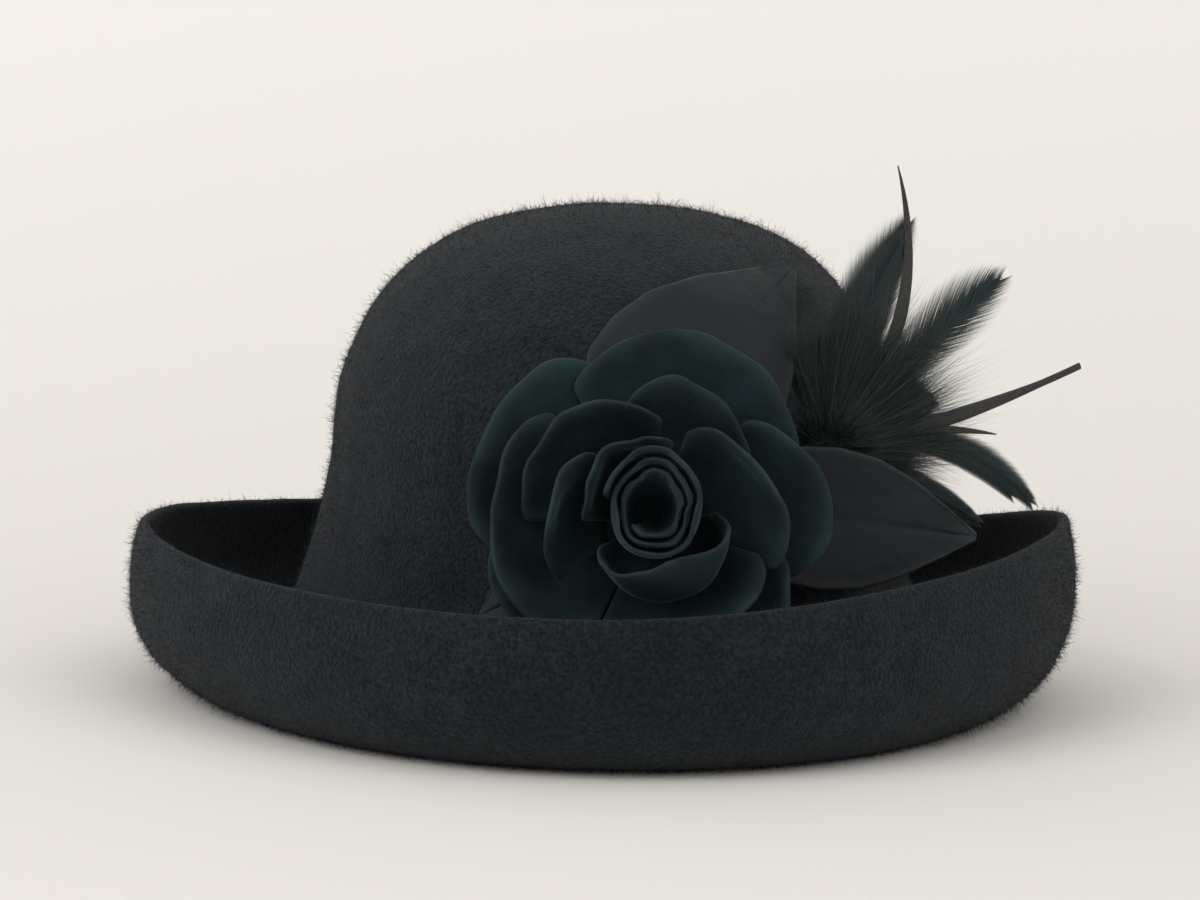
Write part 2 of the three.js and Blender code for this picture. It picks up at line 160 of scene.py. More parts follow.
# The felt's own outward direction, square to the block, felt out over a short step each way
def off_block(spread, turn):
    before = block(max(spread - FEEL, POLE / 20), turn)
    after = block(min(spread + FEEL, 1), turn)
    beside = block(max(spread, POLE), turn + FEEL) - block(max(spread, POLE), turn - FEEL)
    return (after - before).cross(beside).normalized()


def blocked(flat):
    spread = math.hypot(flat.x, flat.y)
    turn = math.atan2(flat.x, -flat.y)
    held = min(spread, 1)
    point = block(held, turn)
    off = off_block(held, turn)
    if spread > 1:
        up = (block(1, turn) - block(0.99, turn)).normalized()
        point = point + up * (spread - 1)
    point = point + off * flat.z
    uneven = HANDMADE * noise.noise(point / HANDMADE_SIZE)
    uneven += LUMP * noise.noise(point / LUMP_SIZE)
    return point + off * uneven * min(1, max(0, (point.z - FELT) / FELT))


def hood_profile():
    face = [(row / HOOD_ROWS, FELT / 2) for row in range(HOOD_ROWS + 1)]
    turns = [step / RIM_STEPS * math.pi for step in range(1, RIM_STEPS)]
    rim = [(1 + math.sin(turn) * FELT / 2, math.cos(turn) * FELT / 2) for turn in turns]
    back = [(1 - row / LINING_ROWS, -FELT / 2) for row in range(LINING_ROWS + 1)]
    return face + rim + back


def mesh_object(name, shape, material):
    bmesh.ops.recalc_face_normals(shape, faces=shape.faces[:])
    if all(edge.is_manifold for edge in shape.edges) and shape.calc_volume(signed=True) < 0:
        bmesh.ops.reverse_faces(shape, faces=shape.faces[:])
    mesh = bpy.data.meshes.new(name)
    shape.to_mesh(mesh)
    shape.free()
    mesh.materials.append(material)
    mesh.shade_smooth()
    piece = bpy.data.objects.new(name, mesh)
    bpy.context.scene.collection.objects.link(piece)
    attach(piece, "root")
    return piece


def material_named(name, roughness, sheen, sheen_tint, sheen_roughness):
    material = bpy.data.materials.new(name)
    material.use_nodes = True
    shader = material.node_tree.nodes["Principled BSDF"]
    shader.inputs["Roughness"].default_value = roughness
    shader.inputs["Sheen Weight"].default_value = sheen
    shader.inputs["Sheen Tint"].default_value = (*sheen_tint, 1)
    shader.inputs["Sheen Roughness"].default_value = sheen_roughness
    shader.inputs["Specular IOR Level"].default_value = 0.2
    return material, shader


# The grain of a fibrous cloth: lumps of a given size, and the single fibres on them
def grain_group():
    group = bpy.data.node_groups.new("fibre_grain", "ShaderNodeTree")
    group.interface.new_socket(name="Lumps per Metre", in_out="INPUT", socket_type="NodeSocketFloat")
    group.interface.new_socket(name="Lumps", in_out="OUTPUT", socket_type="NodeSocketFloat")
    group.interface.new_socket(name="Fibres", in_out="OUTPUT", socket_type="NodeSocketFloat")
    into = group.nodes.new("NodeGroupInput")
    out = group.nodes.new("NodeGroupOutput")
    place = group.nodes.new("ShaderNodeTexCoord")
    for socket, finer, detail in (("Lumps", 1, 3), ("Fibres", 5, 2)):
        texture = group.nodes.new("ShaderNodeTexNoise")
        texture.inputs["Detail"].default_value = detail
        scale = group.nodes.new("ShaderNodeMath")
        scale.operation = "MULTIPLY"
        scale.inputs[1].default_value = finer
        group.links.new(into.outputs["Lumps per Metre"], scale.inputs[0])
        group.links.new(scale.outputs[0], texture.inputs["Scale"])
        group.links.new(place.outputs["Object"], texture.inputs["Vector"])
        group.links.new(texture.outputs[0], out.inputs[socket])
    return group


fibre_grain = grain_group()


def grain_in(material, per_metre):
    grain = material.node_tree.nodes.new("ShaderNodeGroup")
    grain.node_tree = fibre_grain
    grain.inputs["Lumps per Metre"].default_value = per_metre
    return grain


def ramp_in(material, value, stops):
    ramp = material.node_tree.nodes.new("ShaderNodeValToRGB")
    (low, low_color), (high, high_color) = stops
    ramp.color_ramp.elements[0].position = low
    ramp.color_ramp.elements[0].color = (*low_color, 1)
    ramp.color_ramp.elements[1].position = high
    ramp.color_ramp.elements[1].color = (*high_color, 1)
    material.node_tree.links.new(value, ramp.inputs[0])
    return ramp.outputs[0]


def mix_in(material, share, first, second, blend="MIX"):
    mix = material.node_tree.nodes.new("ShaderNodeMix")
    mix.data_type = "RGBA"
    mix.blend_type = blend
    for socket, value in ((0, share), (6, first), (7, second)):
        if isinstance(value, bpy.types.NodeSocket):
            material.node_tree.links.new(value, mix.inputs[socket])
        else:
            mix.inputs[socket].default_value = value
    return mix.outputs[2]


def bump_in(material, height, distance, strength, under=None):
    bump = material.node_tree.nodes.new("ShaderNodeBump")
    bump.inputs["Distance"].default_value = distance
    bump.inputs["Strength"].default_value = strength
    material.node_tree.links.new(height, bump.inputs["Height"])
    if under:
        material.node_tree.links.new(under, bump.inputs["Normal"])
    return bump.outputs[0]


FELT_LUMPS = 900
FELT_PATCHES = 70
felt_material, felt_shader = material_named("wool_felt", 0.96, 0.12, (0.5, 0.5, 0.52), 0.5)
grain = grain_in(felt_material, FELT_LUMPS)
patches = grain_in(felt_material, FELT_PATCHES)
FELT_MOTTLE = ((0.36, (0.0035, 0.0062, 0.0088)), (0.68, (0.0165, 0.0228, 0.029)))
FELT_WEAR = ((0.3, (0.72, 0.72, 0.72)), (0.7, (1.15, 1.15, 1.15)))
mottled = ramp_in(felt_material, grain.outputs["Lumps"], FELT_MOTTLE)
worn = ramp_in(felt_material, patches.outputs["Lumps"], FELT_WEAR)
felt_color = mix_in(felt_material, 1.0, mottled, worn, "MULTIPLY")
lumpy = bump_in(felt_material, grain.outputs["Lumps"], 0.0009, 0.9)
fibrous = bump_in(felt_material, grain.outputs["Fibres"], 0.0003, 0.8, lumpy)
felt_material.node_tree.links.new(felt_color, felt_shader.inputs["Base Color"])
felt_material.node_tree.links.new(fibrous, felt_shader.inputs["Normal"])

shape = bmesh.new()
line = [shape.verts.new((out, 0, side)) for out, side in hood_profile()]
for start, end in zip(line, line[1:]):
    shape.edges.new((start, end))
bmesh.ops.spin(
    shape,
    geom=shape.verts[:] + shape.edges[:],
    axis=(0, 0, 1),
    cent=(0, 0, 0),
    angle=2 * math.pi,
    steps=HOOD_SIDES,
    use_merge=True,
)
bmesh.ops.remove_doubles(shape, verts=shape.verts[:], dist=1e-5)
cut = np.array([(math.hypot(vertex.co.x, vertex.co.y), vertex.co.z) for vertex in shape.verts])
for vertex in shape.verts:
    vertex.co = blocked(vertex.co)
felt_hood = mesh_object("felt_hood", shape, felt_material)
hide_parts("felt_body")


# The felt's nap: loose wool fibres that stand off it, most of them short and lying nearly flat, and a
# few long wisps. They are tapered ribbons, spread evenly over the hood's own faces.

FIBRE = 0.0001
FIBRE_SHORT = 0.0008
FIBRE_SPREAD = 0.00095
FIBRE_LONG = 0.0048
TUFT_SIZE = 0.006
TUFTED = 0.6
FIBRE_CURL = 0.16
FIBRE_LIFT = (0.2, 1.5)
FIBRE_CLEAR = 0.1
FIBRE_ARCH = 0.05
STRAND_WAIST = 0.8
PRESSED = 0.0001
nap_chance = np.random.default_rng(5)
nap_material, nap_shader = material_named("wool_fibre", 0.9, 0.1, (0.5, 0.5, 0.52), 0.5)
fibre_patches = grain_in(nap_material, FELT_LUMPS)
FIBRE_TONES = ((0.4, (0.0085, 0.0118, 0.0152)), (0.7, (0.029, 0.0365, 0.044)))
fibre_color = ramp_in(nap_material, fibre_patches.outputs["Lumps"], FIBRE_TONES)
nap_material.node_tree.links.new(fibre_color, nap_shader.inputs["Base Color"])


# A piece made of many thin strands, each a ribbon through three places that ends in a point. The
# attribute "out" runs from 0 at a strand's foot to 1 at its tip.
def strands(name, feet, middles, tips, width, material):
    count = len(feet)
    along = tips - feet
    side = np.cross(along, nap_chance.normal(size=(count, 3)))
    side *= width / 2 / np.maximum(np.linalg.norm(side, axis=1, keepdims=True), 1e-12)
    slim = side * STRAND_WAIST
    points = np.stack([feet - side, feet + side, middles - slim, middles + slim, tips], axis=1)
    first = np.arange(count)[:, None] * 5
    faces = (first + (0, 1, 3, 2)).tolist() + (first + (2, 3, 4)).tolist()
    mesh = bpy.data.meshes.new(name)
    mesh.from_pydata(points.reshape(-1, 3).tolist(), [], faces)
    out = mesh.attributes.new("out", "FLOAT", "POINT")
    out.data.foreach_set("value", np.tile((0, 0, 0.5, 0.5, 1), count))
    mesh.materials.append(material)
    piece = bpy.data.objects.new(name, mesh)
    bpy.context.scene.collection.objects.link(piece)
    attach(piece, "root")
    return piece


hood_mesh = felt_hood.data
hood_mesh.calc_loop_triangles()
hood_points = np.empty(len(hood_mesh.vertices) * 3)
hood_mesh.vertices.foreach_get("co", hood_points)
hood_points = hood_points.reshape(-1, 3)
corners = np.empty(len(hood_mesh.loop_triangles) * 3, dtype=int)
hood_mesh.loop_triangles.foreach_get("vertices", corners)
corners = corners.reshape(-1, 3)
first_corner, second_corner, third_corner = (hood_points[corners[:, corner]] for corner in range(3))
crossed = np.cross(second_corner - first_corner, third_corner - first_corner)
face_area = np.linalg.norm(crossed, axis=1) / 2
face_spread = cut[corners, 0].mean(axis=1)
face_side = cut[corners, 1].mean(axis=1)


def nap(name, count, chosen):
    share = np.where(chosen, face_area, 0)
    picked = nap_chance.choice(len(corners), size=count, p=share / share.sum())
    a, b = np.sort(nap_chance.random((2, count, 1)), axis=0)
    one, two, three = (hood_points[corners[picked, corner]] for corner in range(3))
    feet = one * a + two * (b - a) + three * (1 - b)
    off = crossed[picked] / np.linalg.norm(crossed[picked], axis=1, keepdims=True)
    lie = nap_chance.normal(size=(count, 3))
    lie /= np.linalg.norm(lie, axis=1, keepdims=True)
    tufts = np.array([[1 + TUFTED * noise.noise(Vector(foot) / TUFT_SIZE)] for foot in feet.tolist()])
    lengths = FIBRE_SHORT + nap_chance.exponential(FIBRE_SPREAD, (count, 1)) * tufts
    lengths = np.minimum(lengths, FIBRE_LONG)
    course = off * nap_chance.uniform(*FIBRE_LIFT, (count, 1)) + lie
    course += off * np.maximum(FIBRE_CLEAR - np.sum(course * off, axis=1, keepdims=True), 0)
    course /= np.linalg.norm(course, axis=1, keepdims=True)
    curl = nap_chance.normal(size=(count, 3)) * FIBRE_CURL
    middles = feet + (course + curl) * lengths / 2 + off * lengths * FIBRE_ARCH
    tips = feet + course * lengths
    for points in (feet, middles, tips):
        points[:, 2] = np.maximum(points[:, 2], PRESSED)
    piece = strands(name, feet, middles, tips, FIBRE, nap_material)


nap("nap_on_crown", 60000, (face_side > 0) & (face_spread < FOOT_END))
nap("nap_in_brim", 24000, (face_side > 0) & (face_spread >= FOOT_END))
nap("nap_under_brim", 62000, (face_side <= 0) & (face_spread >= FOOT_END))


# The rose: a stiff backing sewn to the crown, a furled bud, and three rings of velvet petals that
# are cut one by one, cupped with a hot iron and stitched round it, each tucked under the next.

ROSE_X = 0.0116
ROSE_LEVEL = 0.063
ROSE_LIFT = 0.0034
ROSE_TILT = 14
ROSE_SWING = 1
ROSE_RADIUS = 0.048
ROSE_DEPTH = 0.040
PETAL = 0.0012
CALYX_BACK = 0.020

# The nested cups that the petals lie on, from the bud outwards, as shares of the rose's size
CUPS = [
    {"ring": "bud", "radius": (0.1, 0.28, 0.18), "depth": (0.34, 0.62, 0.98)},
    {"ring": "inner", "radius": (0.22, 0.48, 0.45), "depth": (0.28, 0.48, 0.9)},
    {"ring": "middle", "radius": (0.33, 0.74, 0.77), "depth": (0.21, 0.36, 0.67)},
    {"ring": "outer", "radius": (0.43, 0.84, 1), "depth": (0.13, 0.21, 0.42)},
]

# Each petal: the turn of its middle and its spread in degrees, its cup, how it leans out, its length,
# and how far its far side closes over the bud
PETAL_FACTS = ("name", "turn", "spread", "cup", "lean", "length", "closed")
PETALS = [
    ("petal_inner_1", 176, 80, 1.28, 0.36, 1, 0),
    ("petal_inner_2", 132, 115, 0.64, 0, 0.94, 0),
    ("petal_inner_3", -72, 146, 0.63, 0.02, 0.98, 0.2),
    ("petal_middle_1", 135, 100, 1.66, 0.35, 0.97, 0),
    ("petal_middle_2", 68, 80, 1.84, 0.06, 0.8, 0),
    ("petal_middle_3", 21.5, 93, 1.5, -0.55, 1, 0),
    ("petal_middle_4", -67, 95, 1.95, -0.28, 0.94, 0),
    ("petal_middle_5", 190, 110, 2.38, 0.06, 1.08, 0),
    ("petal_outer_1", 71, 102, 2.97, 0, 1, 0),
    ("petal_outer_2", 12, 70, 2.66, -0.3, 0.98, 0),
    ("petal_outer_3", -55, 80, 2.82, -0.26, 0.94, 0),
    ("petal_outer_4", -128, 86, 2.85, -0.24, 0.94, 0),
    ("petal_outer_5", 157, 90, 3.03, -0.36, 1.02, 0),
]
PETALS = [dict(zip(PETAL_FACTS, row)) for row in PETALS]
PETAL_ROUNDING = 0.42
SWELL = 4.5
BUD_TURNS = 1.35
BUD_START = 40
BUD_GROWTH = 0.34
BUD_HEART = 0.86


def crown_size(z):
    climb = min(max((z - WAIST_Z) / DOME_RISE, 0), 0.97)
    share = (1 - climb**DOME_FULLNESS) ** (1 / DOME_FULLNESS)
    fall = min(max((WAIST_Z - z) / (WAIST_Z - FOOT_Z), 0), 1)
    out = CROWN_FLARE * fall**FLARE_BEND + FELT / 2
    return WAIST_X * share + out, WAIST_Y * share + out


LEAF_BEND = 0.3


def crown_front(x, z, free=0.97):
    half_width, half_length = crown_size(z)
    across = (x - lean_at(z)) / half_width
    held = min(max(across, -free), free)
    reach = math.sqrt(1 - held**2)
    return half_length * (LEAF_BEND * held * (across - held) / reach - reach)


def seat_on_crown(x, z, lift, tilt, swing):
    swung = Matrix.Rotation(math.radians(swing), 4, "Z")
    tilted = Matrix.Rotation(math.radians(90 - tilt), 4, "X")
    return Matrix.Translation(HAT_MIDDLE + Vector((x, crown_front(x, z) - lift, z))) @ swung @ tilted


def cup_point(cup, along, turn, closed=0):
    first = min(max(math.floor(cup), 0), len(CUPS) - 2)
    share = cup - first
    drawn_in = (1, 1 + SWELL * closed, 1 - closed)

    def curve(column, size, drawn):
        ends = zip(CUPS[first][column], CUPS[first + 1][column], drawn)
        a, b, c = (lerp(inner, outer, share) * kept for inner, outer, kept in ends)
        return size * ((1 - along) ** 2 * a + 2 * along * (1 - along) * b + along**2 * c)

    radius = curve("radius", ROSE_RADIUS, drawn_in)
    depth = curve("depth", ROSE_DEPTH, (1, 1, 1))
    return Vector((radius * math.cos(turn), radius * math.sin(turn), depth))


# Velvet: dark teal, with a short pile, and a painted sheen that lightens the colour along each petal's
# rim
VELVET_PILE = 1500
VELVET_PATCHES = 60
velvet_material, velvet_shader = material_named("velvet", 0.85, 0.22, (0.35, 0.62, 0.62), 0.3)
pile = grain_in(velvet_material, VELVET_PILE)
crushed = grain_in(velvet_material, VELVET_PATCHES)
rim = velvet_material.node_tree.nodes.new("ShaderNodeAttribute")
rim.attribute_name = "rim"
# The colour grows lighter towards each petal's rim: a painted sheen, where the pile catches the light
# edge-on
VELVET_RIM_SHEEN = ((0.86, (0.0068, 0.0175, 0.0205)), (1.0, (0.0145, 0.029, 0.0315)))
VELVET_STROKES = ((0.35, (0.6, 0.6, 0.6)), (0.65, (1.3, 1.3, 1.3)))
painted_rim_sheen = ramp_in(velvet_material, rim.outputs["Fac"], VELVET_RIM_SHEEN)
stroked = ramp_in(velvet_material, crushed.outputs["Lumps"], VELVET_STROKES)
velvet_color = mix_in(velvet_material, 1.0, painted_rim_sheen, stroked, "MULTIPLY")
tufted = bump_in(velvet_material, pile.outputs["Lumps"], 0.00022, 0.55)
creased = bump_in(velvet_material, crushed.outputs["Fibres"], 0.0007, 0.35, tufted)
velvet_material.node_tree.links.new(velvet_color, velvet_shader.inputs["Base Color"])
velvet_material.node_tree.links.new(creased, velvet_shader.inputs["Normal"])

rose_seat = seat_on_crown(ROSE_X, ROSE_LEVEL, ROSE_LIFT, ROSE_TILT, ROSE_SWING)
PETAL_ROWS = 18
PETAL_COLUMNS = 30
BUD_COLUMNS = 150
RUFFLE = 0.0011
RUFFLE_WAVES = 5
CURL = 0.0016
DROOP = 0.6
TURN_PHASE = 9
FREE_FROM = 0.5
CRUMPLE = 0.0011
CRUMPLE_SIZE = 0.0095
BUD_OVAL = 0.12
BUD_FURL = 1.5
noise.seed_set(4)


# How far a petal's free edge is ruffled and rolled out, at its share of the way up and its turn
def ruffled(point, along, turn, phase, size=1):
    free = max(0, (along - FREE_FROM) / (1 - FREE_FROM))
    waves = math.sin(RUFFLE_WAVES * turn + phase) + noise.noise(Vector((3 * turn, phase, 0)))
    out = size * (RUFFLE * waves * free**2 + CURL * free**4)
    down = size * DROOP * CURL * free**6
    crumple = noise.noise_vector(point / CRUMPLE_SIZE) * CRUMPLE * size * min(1, 2 * along) * along
    return point + crumple + Vector((out * math.cos(turn), out * math.sin(turn), -down))


# A thin plate from a flat grid: each point goes where place() puts it, and the attribute named
# edge_name runs up to 1 at the plate's sides and its far end
def plate_of(name, shape, place, thickness, material, edge_name):
    flats = [vertex.co.copy() for vertex in shape.verts]
    for vertex in shape.verts:
        vertex.co = place(vertex.co)
    piece = mesh_object(name, shape, material)
    edge = piece.data.attributes.new(edge_name, "FLOAT", "POINT")
    edge.data.foreach_set("value", [max(abs(flat.x), (flat.y + 1) / 2) for flat in flats])
    body = piece.modifiers.new("thickness", "SOLIDIFY")
    body.thickness = thickness
    body.offset = 0
    smooth = piece.modifiers.new("smooth", "SUBSURF")
    smooth.levels = 1
    smooth.render_levels = 1
    return piece


def sheet_grid(columns, rows):
    shape = bmesh.new()
    bmesh.ops.create_grid(shape, x_segments=columns, y_segments=rows, size=1)
    return shape


for petal in PETALS:

    def on_cup(flat):
        across, along = flat.x, (flat.y + 1) / 2
        reach = along * petal["length"] * (1 - PETAL_ROUNDING * abs(across) ** 3)
        angle = math.radians(petal["turn"] + petal["spread"] / 2 * across)
        closed = petal["closed"] * (1 - across**2)
        point = cup_point(petal["cup"] + petal["lean"] * across, reach, angle, closed)
        return rose_seat @ ruffled(point, along, angle, petal["turn"] / TURN_PHASE)

    grid = sheet_grid(PETAL_COLUMNS, PETAL_ROWS)
    piece = plate_of(petal["name"] + "_velvet", grid, on_cup, PETAL, velvet_material, "rim")
    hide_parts(petal["name"])


def in_bud(flat):
    along = (flat.y + 1) / 2
    turns = lerp(-BUD_FURL, BUD_TURNS, (flat.x + 1) / 2)
    grown = turns / BUD_TURNS
    reach = along * lerp(BUD_HEART, 1, grown)
    angle = math.radians(BUD_START + 360 * turns)
    oval = 1 - BUD_OVAL * math.cos(2 * angle) * along**2
    point = Matrix.Diagonal((oval, oval, 1)) @ cup_point(BUD_GROWTH * grown, reach, angle)
    return rose_seat @ ruffled(point, along, angle, 0, 0.5)


grid = sheet_grid(BUD_COLUMNS, PETAL_ROWS)
rose_bud = plate_of("rose_bud_velvet", grid, in_bud, PETAL, velvet_material, "rim")
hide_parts("rose_bud")


# The backing is a stiff button covered in the same velvet, stepped to carry each ring of petals, and
# shaped behind to the crown with room for the leaves' stems

CALYX_SIDES = 96
CALYX_STEPS = 6
CALYX_UNDER = 0.0011
LEAF_ROOM = 0.003
steps = [(cup["radius"][0] * ROSE_RADIUS, cup["depth"][0] * ROSE_DEPTH - CALYX_UNDER) for cup in CUPS]
corners_of = [(0, steps[0][1]), *steps, (steps[-1][0], -CALYX_BACK), (0, -CALYX_BACK)]
shape = bmesh.new()
line = []
for (out, depth), (next_out, next_depth) in zip(corners_of, corners_of[1:]):
    for step in range(CALYX_STEPS):
        share = step / CALYX_STEPS
        line.append(shape.verts.new((lerp(out, next_out, share), 0, lerp(depth, next_depth, share))))
line.append(shape.verts.new((0, 0, -CALYX_BACK)))
for start, end in zip(line, line[1:]):
    shape.edges.new((start, end))
bmesh.ops.spin(
    shape,
    geom=shape.verts[:] + shape.edges[:],
    axis=(0, 0, 1),
    cent=(0, 0, 0),
    angle=2 * math.pi,
    steps=CALYX_SIDES,
    use_merge=True,
)
bmesh.ops.remove_doubles(shape, verts=shape.verts[:], dist=1e-6)
bmesh.ops.transform(shape, matrix=rose_seat, verts=shape.verts[:])
for vertex in shape.verts:
    on_hat = vertex.co - HAT_MIDDLE
    vertex.co.y = min(vertex.co.y, HAT_MIDDLE.y + crown_front(on_hat.x, on_hat.z) - LEAF_ROOM)
rose_backing = mesh_object("rose_backing", shape, velvet_material)
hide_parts("rose_calyx")


# The leaves: dull satin, cut double and turned, pressed into a fold down the middle, sewn under the
# rose at their stems. The top one stands off the crown's left side at its tip.

LEAF = 0.0012
LEAF_WIDTH = 0.028

# Each leaf: its base and tip from the rose's middle as shares of its radius, its width, how far round
# the crown it stays on the felt, and its lift off the felt at base and tip in thicknesses of a leaf
LEAF_FACTS = ("name", "base", "tip", "width", "free", "lift")
LEAVES = [
    ("leaf_top", (-0.24, 0.28), (0.81, 1.37), 1, 0.7, (1.15, 6)),
    ("leaf_right", (0.45, 0.07), (1.88, -0.11), 0.7, 0.5, (2.9, 2.5)),
    ("leaf_left", (-0.24, -0.17), (-0.94, -0.56), 0.46, 0.97, (1, 3)),
]
LEAVES = [dict(zip(LEAF_FACTS, row)) for row in LEAVES]

# A leaf's half width along its length, from base to tip, both as shares
LEAF_AT = (0, 0.12, 0.25, 0.4, 0.56, 0.72, 0.88, 1)
LEAF_HALF = (0.3, 0.68, 0.95, 1, 0.92, 0.68, 0.33, 0.04)
LEAF_COLUMNS = 28
LEAF_ROWS = 44

SATIN_THREADS = 2600
SATIN_RUMPLES = 45
HEM_FROM = 0.9
HEM = 0.0003
FOLD = 0.0007
FOLD_WIDTH = 0.07
RUMPLE = 0.0006
RUMPLE_SIZE = 0.014
satin_material, satin_shader = material_named("satin", 0.6, 0.05, (0.6, 0.6, 0.65), 0.4)
threads = grain_in(satin_material, SATIN_THREADS)
rumples = grain_in(satin_material, SATIN_RUMPLES)
hem = satin_material.node_tree.nodes.new("ShaderNodeAttribute")
hem.attribute_name = "hem"
# The satin grows lighter along each leaf's hemmed edge: a painted highlight, where the turned edge
# catches the light
SATIN_HEM_HIGHLIGHT = ((0.88, (0.0098, 0.0132, 0.0172)), (1.0, (0.0205, 0.0245, 0.029)))
SATIN_FADING = ((0.3, (0.75, 0.75, 0.75)), (0.7, (1.25, 1.25, 1.25)))
painted_hem_highlight = ramp_in(satin_material, hem.outputs["Fac"], SATIN_HEM_HIGHLIGHT)
faded = ramp_in(satin_material, rumples.outputs["Lumps"], SATIN_FADING)
satin_color = mix_in(satin_material, 1.0, painted_hem_highlight, faded, "MULTIPLY")
woven = bump_in(satin_material, threads.outputs["Lumps"], 0.0001, 0.5)
rumpled = bump_in(satin_material, rumples.outputs["Fibres"], 0.001, 0.4, woven)
satin_material.node_tree.links.new(satin_color, satin_shader.inputs["Base Color"])
satin_material.node_tree.links.new(rumpled, satin_shader.inputs["Normal"])

for leaf in LEAVES:
    base, tip = (
        Vector((ROSE_X + x * ROSE_RADIUS, ROSE_LEVEL + z * ROSE_RADIUS))
        for x, z in (leaf["base"], leaf["tip"])
    )
    line = tip - base
    side = Vector((line.y, -line.x)).normalized()

    def on_crown(flat):
        across, along = flat.x, (flat.y + 1) / 2
        half = float(np.interp(along, LEAF_AT, LEAF_HALF)) * leaf["width"] * LEAF_WIDTH
        place = base + line * along + side * across * half
        off = lerp(leaf["lift"][0], leaf["lift"][1], along**2) * LEAF
        off += HEM * min(1, max(0, (abs(across) - HEM_FROM) / (1 - HEM_FROM)) * 3)
        off -= FOLD * along * math.exp(-((across / FOLD_WIDTH) ** 2))
        off += RUMPLE * along * (1 + noise.noise(Vector((place.x, place.y, 0)) / RUMPLE_SIZE))
        front = crown_front(place.x, place.y, leaf["free"])
        return HAT_MIDDLE + Vector((place.x, front - off, place.y))

    grid = sheet_grid(LEAF_COLUMNS, LEAF_ROWS)
    piece = plate_of(leaf["name"] + "_satin", grid, on_crown, LEAF, satin_material, "hem")
    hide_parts(leaf["name"])


# The feather spray: cock's feathers with their vanes, three stripped quills and soft down, tied with
# thread to one small head and sewn to the crown behind the rose. Each vane is a shaft with its barbs,
# and each barb is a tapered ribbon; the barbs of a vane hang together in locks with splits between.

SPRAY_BESIDE = 0.0484
SPRAY_ABOVE = 0.017
SPRAY_SWING = 22
SPRAY_HEAD = 0.008
HEAD_SQUASH = (1, 0.8, 0.5)
FEATHER_REACH = 0.081
FEATHER_WIDTH = 0.015
FEATHER = 0.0012
FEATHER_TIP = 0.1
FEATHER_FULLNESS = 0.6

# Each feather: its turn from level upwards in degrees, its length and width as shares of the longest
# and widest, its sideways bow, its layer in the fan, and how it is made
FEATHER_FACTS = ("kind", "turn", "length", "width", "bow", "layer", "make")
FEATHERS = [
    ("upper vane", 70, 0.87, 1.3, 0.05, 1, "vane"),
    ("upright quill", 77, 1, 0.24, -0.15, 2.2, "quill"),
    ("soft plume", 42.5, 0.9, 1.25, 0.02, 0, "plume"),
    ("long quill", 16.5, 1, 0.24, -0.03, 2.2, "quill"),
    ("thin quill", 4, 0.65, 0.2, 0.06, 1, "quill"),
    ("bent vane", -15.5, 0.88, 0.6, 0.15, 0, "vane"),
    ("lower vane", -24, 0.66, 0.5, 0.04, 3, "vane"),
    ("down above", 88, 0.54, 0.8, 0, -1, "down"),
    ("down beside", 57, 0.62, 1.2, 0, -1, "down"),
    ("down across", 29, 0.6, 1.1, 0, 1, "down"),
    ("down below", -8, 0.46, 0.9, 0, 0, "down"),
]
FEATHERS = [dict(zip(FEATHER_FACTS, row)) for row in FEATHERS]

# How each kind is made: barbs on a side, their angle from the shaft at its foot and at its tip in
# degrees, their width, how ragged they are, how many hang together in a lock, how many such feathers
# lie together, how far those fan out in degrees, their size beside the row's, and how far towards its
# tip the feather is widest (more than 1 is past the middle)
MAKE_FACTS = ("barbs", "foot", "tip", "width", "ragged", "lock", "copies", "fan", "size", "belly")
MAKES = {
    "vane": (260, 32, 12, 0.00045, 0.02, 26, 3, 2, 1, 1.55),
    "plume": (280, 44, 14, 0.00018, 0.04, 1, 2, 2, 1.03, 2.3),
    "down": (120, 46, 14, 0.00024, 0.16, 1, 6, 18, 0.78, 1.45),
}
MAKES = {make: dict(zip(MAKE_FACTS, row)) for make, row in MAKES.items()}
BARB_STEPS = 4
BARBS_FROM = 0.05
BARBS_TO = 0.93
SHAFT = 0.0005
SHAFT_SIDES = 5
SHAFT_STEPS = 14
SHAFT_END = 1.02
BARB_SPLAY = 0.0016
BARB_SINK = 0.0008
BARB_POINT = 0.00004
BARB_TAPER = 1.1
BARB_TWIST = 0.3
BARB_SWING = (1.2, 0.8)
BARB_LEAST = 4
LOCK_LEAN = 12
STRAY = 7
COPY_LIFT = (-0.001, 0.002)
COPY_SIZE = (0.9, 0.98)
COURSE_STEP = 0.01
QUILL_SHARE = 1.15
QUILL_TAPER = 0.5
QUILL_ROUND = 0.75
QUILL_POINT = 0.02
QUILL_BLUNT = 0.38
BLUNT_QUILL = "long quill"
QUILL_STEPS = 26
QUILL_SIDES = 10
QUILL_FLAT = 0.28

spray_seat = seat_on_crown(ROSE_X + SPRAY_BESIDE, ROSE_LEVEL + SPRAY_ABOVE, FELT, 0, SPRAY_SWING)
chance = np.random.default_rng(11)


